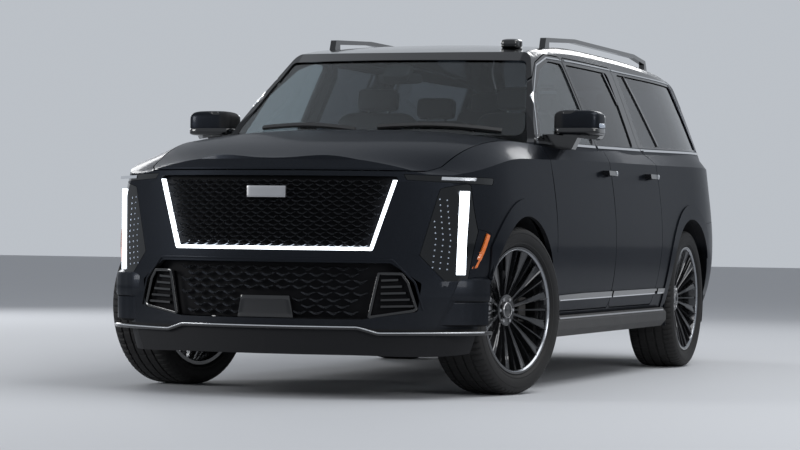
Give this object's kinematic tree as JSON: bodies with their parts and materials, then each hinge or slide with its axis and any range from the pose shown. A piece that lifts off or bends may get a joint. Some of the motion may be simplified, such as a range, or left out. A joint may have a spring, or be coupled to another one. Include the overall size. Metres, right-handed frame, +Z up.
{
  "type": "full-size suv",
  "caption": "Full-size three-row SUV with opening doors, hood and liftgate, rolling wheels and front steering.",
  "frame": {"origin": "on the ground, midway between the nose and the tail and between the two sides", "axes": "+X forward, +Y to the vehicle's left, +Z up"},
  "size_m": [5.7897, 2.328, 1.9232],
  "materials": {
    "black_trim": "matte",
    "cast": "cast",
    "chassis": "satin black",
    "gloss_black": "gloss",
    "grille_trim": "gloss",
    "interior": "matte",
    "lamp_dark": "clear over dark",
    "lamp_red": "clear red",
    "leather": "satin",
    "light_white": "lit",
    "paint": "satin metallic",
    "rim": "machined and dark gloss",
    "steel": "satin",
    "tinted_glass": "tinted",
    "tyre": "matte"
  },
  "bodies": {
    "vehicle": {"front_bumper": "paint", "headlamps": "lamp_dark", "cowl_panel": "black_trim", "front_fenders": "paint", "left_body_side": "paint", "right_body_side": "paint", "roof_panel": "gloss_black", "tail_lamps": "lamp_red", "rear_bumper": "paint", "quarter_glass": "tinted_glass", "windshield": "tinted_glass", "grilles": "grille_trim", "grille_light_bar": "light_white", "front_splitter": "gloss_black", "side_sills": "black_trim", "roof_rails": "gloss_black", "floor_pan": "interior", "dashboard": "interior", "front_seats": "leather", "second_row_seats": "leather", "third_row_bench": "leather", "chassis_frame": "chassis", "engine_block": "cast", "radiator_pack": "chassis", "driveline": "cast", "front_suspension": "chassis", "rear_suspension": "chassis", "exhaust": "steel", "fuel_tank": "black_trim", "spare_wheel": "tyre"},
    "hood": {"hood": "paint"},
    "liftgate": {"liftgate": "paint", "liftgate_glass": "tinted_glass"},
    "left_front_door": {"left_front_door": "paint", "left_front_door_glass": "tinted_glass", "left_mirror": "gloss_black", "left_front_handle": "gloss_black"},
    "right_front_door": {"right_front_door": "paint", "right_front_door_glass": "tinted_glass", "right_mirror": "gloss_black", "right_front_handle": "gloss_black"},
    "left_rear_door": {"left_rear_door": "paint", "left_rear_door_glass": "tinted_glass", "left_rear_handle": "gloss_black"},
    "right_rear_door": {"right_rear_door": "paint", "right_rear_door_glass": "tinted_glass", "right_rear_handle": "gloss_black"},
    "left_knuckle": {"left_knuckle": "cast"},
    "right_knuckle": {"right_knuckle": "cast"},
    "left_front_wheel": {"left_front_rim": "rim", "left_front_tyre": "tyre"},
    "right_front_wheel": {"right_front_rim": "rim", "right_front_tyre": "tyre"},
    "left_rear_wheel": {"left_rear_rim": "rim", "left_rear_tyre": "tyre"},
    "right_rear_wheel": {"right_rear_rim": "rim", "right_rear_tyre": "tyre"},
    "steering_wheel": {"steering_wheel": "leather"}
  },
  "joints": [
    {"name": "left_steer", "type": "hinge", "parent": "vehicle", "child": "left_knuckle", "pos_m": [1.915, 0.8, 0.419], "axis": [0, 0, 1], "range_deg": [-20.4, 47.6]},
    {"name": "right_steer", "type": "hinge", "parent": "vehicle", "child": "right_knuckle", "pos_m": [1.915, -0.8, 0.419], "axis": [0, 0, 1], "range_deg": [-20.4, 47.6]},
    {"name": "steering_wheel_turn", "type": "hinge", "parent": "vehicle", "child": "steering_wheel", "pos_m": [0.785, 0.42, 1.165], "axis": [-0.9135, 0, 0.4067], "range_deg": [-306, 714]},
    {"name": "left_front_roll", "type": "hinge", "parent": "left_knuckle", "child": "left_front_wheel", "pos_m": [1.93052, 0.86415, 0.419], "axis": [0.2351, 0.972, 0], "continuous": true},
    {"name": "right_front_roll", "type": "hinge", "parent": "right_knuckle", "child": "right_front_wheel", "pos_m": [1.89948, -0.86415, 0.419], "axis": [0.2351, 0.972, 0], "continuous": true},
    {"name": "left_rear_roll", "type": "hinge", "parent": "vehicle", "child": "left_rear_wheel", "pos_m": [-1.492, 0.866, 0.419], "axis": [0, 1, 0], "continuous": true},
    {"name": "right_rear_roll", "type": "hinge", "parent": "vehicle", "child": "right_rear_wheel", "pos_m": [-1.492, -0.866, 0.419], "axis": [0, 1, 0], "continuous": true},
    {"name": "left_front_door_swing", "type": "hinge", "parent": "vehicle", "child": "left_front_door", "pos_m": [1.385, 1.01, 0.9], "axis": [0, 0, -1], "range_deg": [0, 65]},
    {"name": "right_front_door_swing", "type": "hinge", "parent": "vehicle", "child": "right_front_door", "pos_m": [1.385, -1.01, 0.9], "axis": [0, 0, 1], "range_deg": [0, 65]},
    {"name": "left_rear_door_swing", "type": "hinge", "parent": "vehicle", "child": "left_rear_door", "pos_m": [0.245, 1.01, 0.9], "axis": [0, 0, -1], "range_deg": [0, 65]},
    {"name": "right_rear_door_swing", "type": "hinge", "parent": "vehicle", "child": "right_rear_door", "pos_m": [0.245, -1.01, 0.9], "axis": [0, 0, 1], "range_deg": [0, 65]},
    {"name": "hood_lift", "type": "hinge", "parent": "vehicle", "child": "hood", "pos_m": [1.52, 0, 1.325], "axis": [0, -1, 0], "range_deg": [0, 50]},
    {"name": "liftgate_lift", "type": "hinge", "parent": "vehicle", "child": "liftgate", "pos_m": [-2.474, 0, 1.835], "axis": [0, 1, 0], "range_deg": [0, 85]}
  ],
  "couplings": [
    {"joint": "right_steer", "follows": "left_steer", "ratio": 1},
    {"joint": "steering_wheel_turn", "follows": "left_steer", "ratio": 15}
  ]
}
